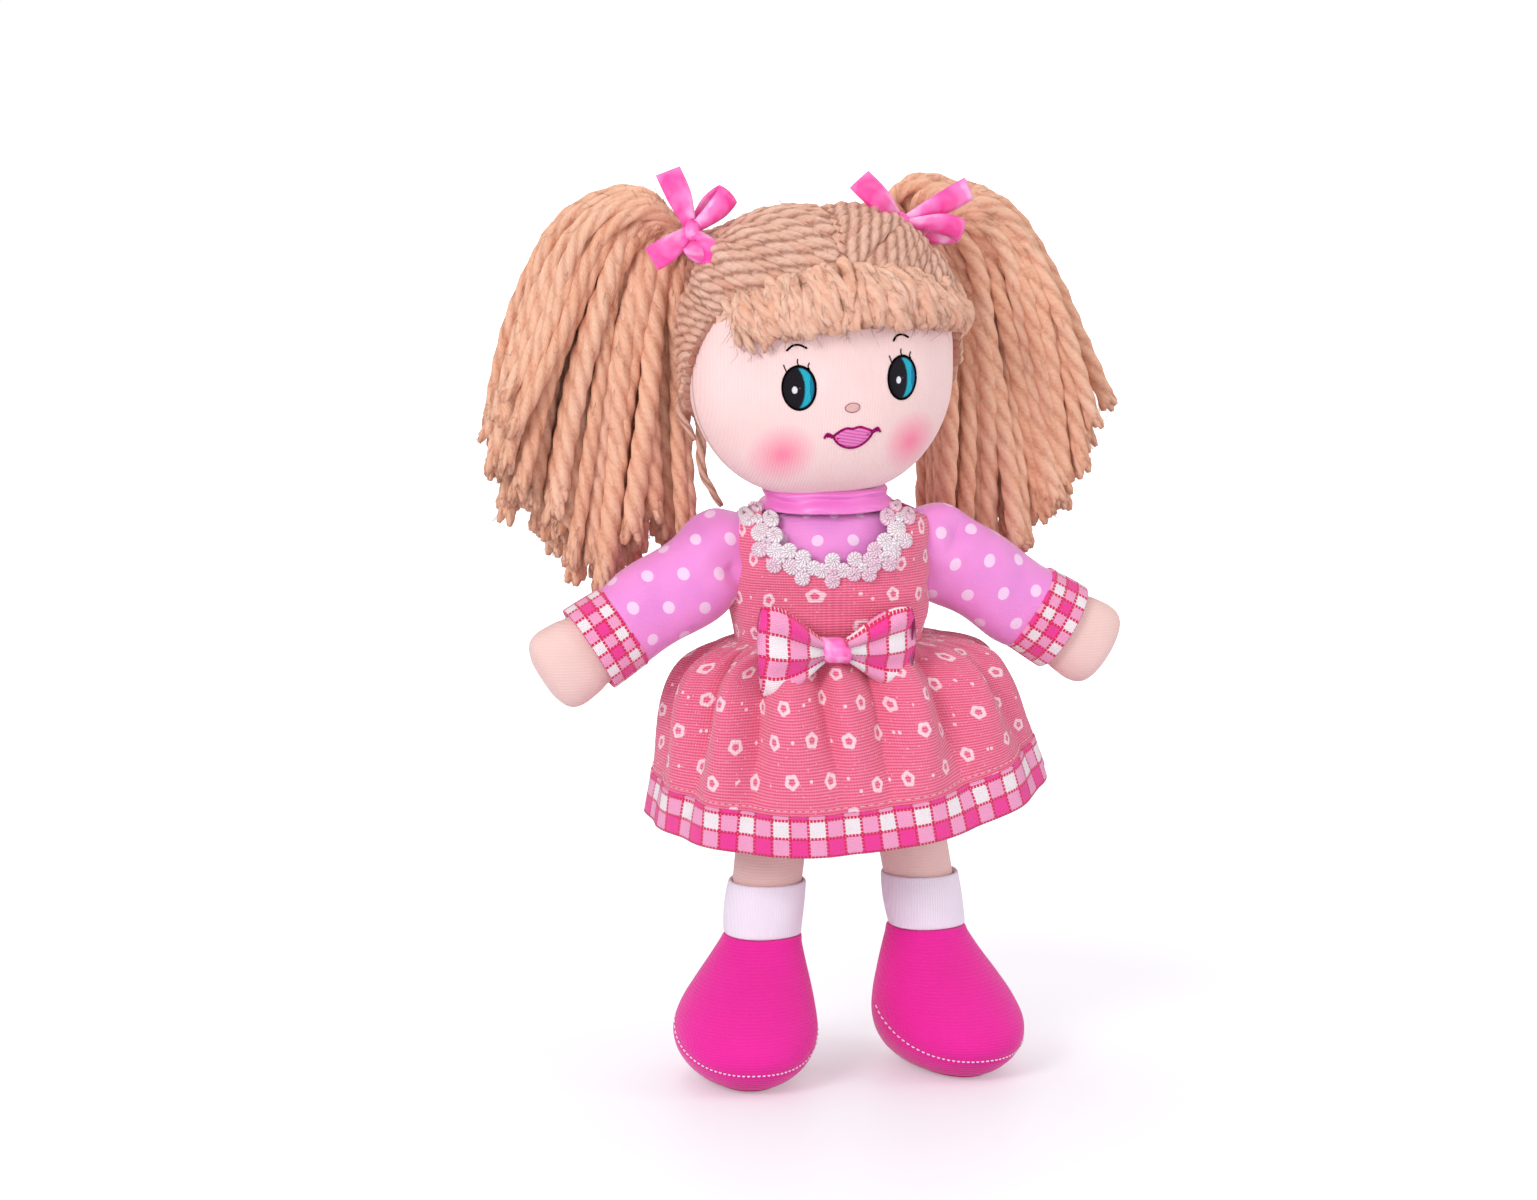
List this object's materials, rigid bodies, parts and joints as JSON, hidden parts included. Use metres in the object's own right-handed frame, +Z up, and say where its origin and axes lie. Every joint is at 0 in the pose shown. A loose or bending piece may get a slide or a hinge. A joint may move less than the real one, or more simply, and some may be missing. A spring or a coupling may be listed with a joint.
{
  "type": "talking rag doll",
  "caption": "Stuffed cloth doll with yarn pigtails, dress, mitten hands, soft shoes and a voice box in the tummy that is worked by a press button.",
  "frame": {"origin": "the middle of the doll's footprint on the floor it stands on", "axes": "+Z up, the doll faces -Y and its left hand is on +X"},
  "size_m": [0.2638, 0.123, 0.3558],
  "materials": {
    "skin_knit": "fine ribbed knit over stuffing",
    "yarn": "thick twisted yarn",
    "blouse_satin": "satin with white dots",
    "dress_weave": "slub weave with small white ring flowers",
    "gingham": "pink and white checked cotton",
    "lace": "crocheted cotton flowers",
    "ribbon_satin": "glossy satin ribbon",
    "sock_knit": "white knit",
    "shoe_knit": "magenta knit over stuffing",
    "black_thread": "satin stitch embroidery",
    "mouth_thread": "satin stitch embroidery",
    "nose_thread": "satin stitch embroidery",
    "elastic": "covered elastic band",
    "closure_tape": "hook-and-loop tape on a stuffed pad",
    "case_plastic": "moulded",
    "button_plastic": "moulded",
    "switch_plastic": "moulded",
    "board_laminate": "green laminate",
    "cone_paper": "pressed paper",
    "steel": "nickel plated",
    "lead_sleeve": "flat twin lead"
  },
  "bodies": {
    "doll_body": {"torso": "skin_knit", "back_closure": "closure_tape", "blouse_body": "blouse_satin", "collar": "blouse_satin", "bodice": "dress_weave", "lace_trim": "lace", "skirt_back": "dress_weave", "skirt_back_hem": "gingham", "waist_bow": "gingham", "waist_bow_knot": "ribbon_satin", "case_screw_1": "steel", "case_screw_2": "steel", "voice_case_front": "case_plastic", "voice_case_back": "case_plastic", "button_cell_1": "steel", "button_cell_2": "steel", "button_cell_3": "steel", "board_contact": "steel", "door_contact": "steel", "battery_door": "case_plastic", "battery_door_screw": "steel", "circuit_board": "board_laminate", "push_switch": "switch_plastic", "speaker_frame": "steel", "speaker_cone": "cone_paper", "speaker_lead": "lead_sleeve"},
    "voice_button": {"voice_button": "button_plastic"},
    "neck": {"neck": "skin_knit"},
    "head": {"head": "skin_knit", "left_eye": "black_thread", "left_brow": "black_thread", "right_eye": "black_thread", "right_brow": "black_thread", "nose": "nose_thread", "mouth": "mouth_thread", "fringe": "yarn", "left_scalp_hair": "yarn", "right_scalp_hair": "yarn", "left_hair_tie": "elastic", "right_hair_tie": "elastic", "left_hair_bow": "ribbon_satin", "right_hair_bow": "ribbon_satin"},
    "left_pigtail": {"left_pigtail": "yarn"},
    "right_pigtail": {"right_pigtail": "yarn"},
    "left_arm": {"left_arm": "skin_knit", "left_sleeve": "blouse_satin", "left_cuff": "gingham"},
    "right_arm": {"right_arm": "skin_knit", "right_sleeve": "blouse_satin", "right_cuff": "gingham"},
    "lap": {"skirt_front": "dress_weave", "skirt_front_hem": "gingham"},
    "left_leg": {"left_leg": "skin_knit", "left_sock": "sock_knit", "left_shoe": "shoe_knit", "left_shoe_sole": "shoe_knit"},
    "right_leg": {"right_leg": "skin_knit", "right_sock": "sock_knit", "right_shoe": "shoe_knit", "right_shoe_sole": "shoe_knit"}
  },
  "joints": [
    {"name": "tummy_press", "type": "slide", "parent": "doll_body", "child": "voice_button", "axis": [0, 1, 0], "range_m": [0, 0.0012], "stiffness_N_per_m": 700},
    {"name": "neck_tilt", "type": "hinge", "parent": "doll_body", "child": "neck", "pos_m": [0, 0, 0.2292], "axis": [0, 1, 0], "range_deg": [-8, 8], "stiffness_Nm_per_rad": 0.8},
    {"name": "head_nod", "type": "hinge", "parent": "neck", "child": "head", "pos_m": [0, 0, 0.234], "axis": [1, 0, 0], "range_deg": [-8, 8], "stiffness_Nm_per_rad": 0.8},
    {"name": "left_pigtail_lift", "type": "hinge", "parent": "head", "child": "left_pigtail", "pos_m": [0.047, 0.033, 0.327], "axis": [0, -1, 0], "range_deg": [0, 28]},
    {"name": "right_pigtail_lift", "type": "hinge", "parent": "head", "child": "right_pigtail", "pos_m": [-0.047, 0.033, 0.327], "axis": [0, 1, 0], "range_deg": [0, 28]},
    {"name": "left_shoulder", "type": "hinge", "parent": "doll_body", "child": "left_arm", "pos_m": [0.0342, 0, 0.21], "axis": [0, -1, 0], "range_deg": [-6, 55], "stiffness_Nm_per_rad": 0.15, "deforming": ["left_sleeve"]},
    {"name": "right_shoulder", "type": "hinge", "parent": "doll_body", "child": "right_arm", "pos_m": [-0.0342, 0, 0.21], "axis": [0, 1, 0], "range_deg": [-6, 55], "stiffness_Nm_per_rad": 0.15, "deforming": ["right_sleeve"]},
    {"name": "sit", "type": "hinge", "parent": "doll_body", "child": "lap", "pos_m": [0, 0, 0.14], "axis": [-1, 0, 0], "range_deg": [0, 80], "deforming": ["skirt_front", "skirt_front_hem"]},
    {"name": "left_leg_swing", "type": "hinge", "parent": "lap", "child": "left_leg", "pos_m": [0.024, 0, 0.14], "axis": [-1, 0, 0], "range_deg": [-20, 13], "stiffness_Nm_per_rad": 0.4},
    {"name": "right_leg_swing", "type": "hinge", "parent": "lap", "child": "right_leg", "pos_m": [-0.018, 0, 0.14], "axis": [-1, 0, 0], "range_deg": [-20, 13], "stiffness_Nm_per_rad": 0.4}
  ]
}
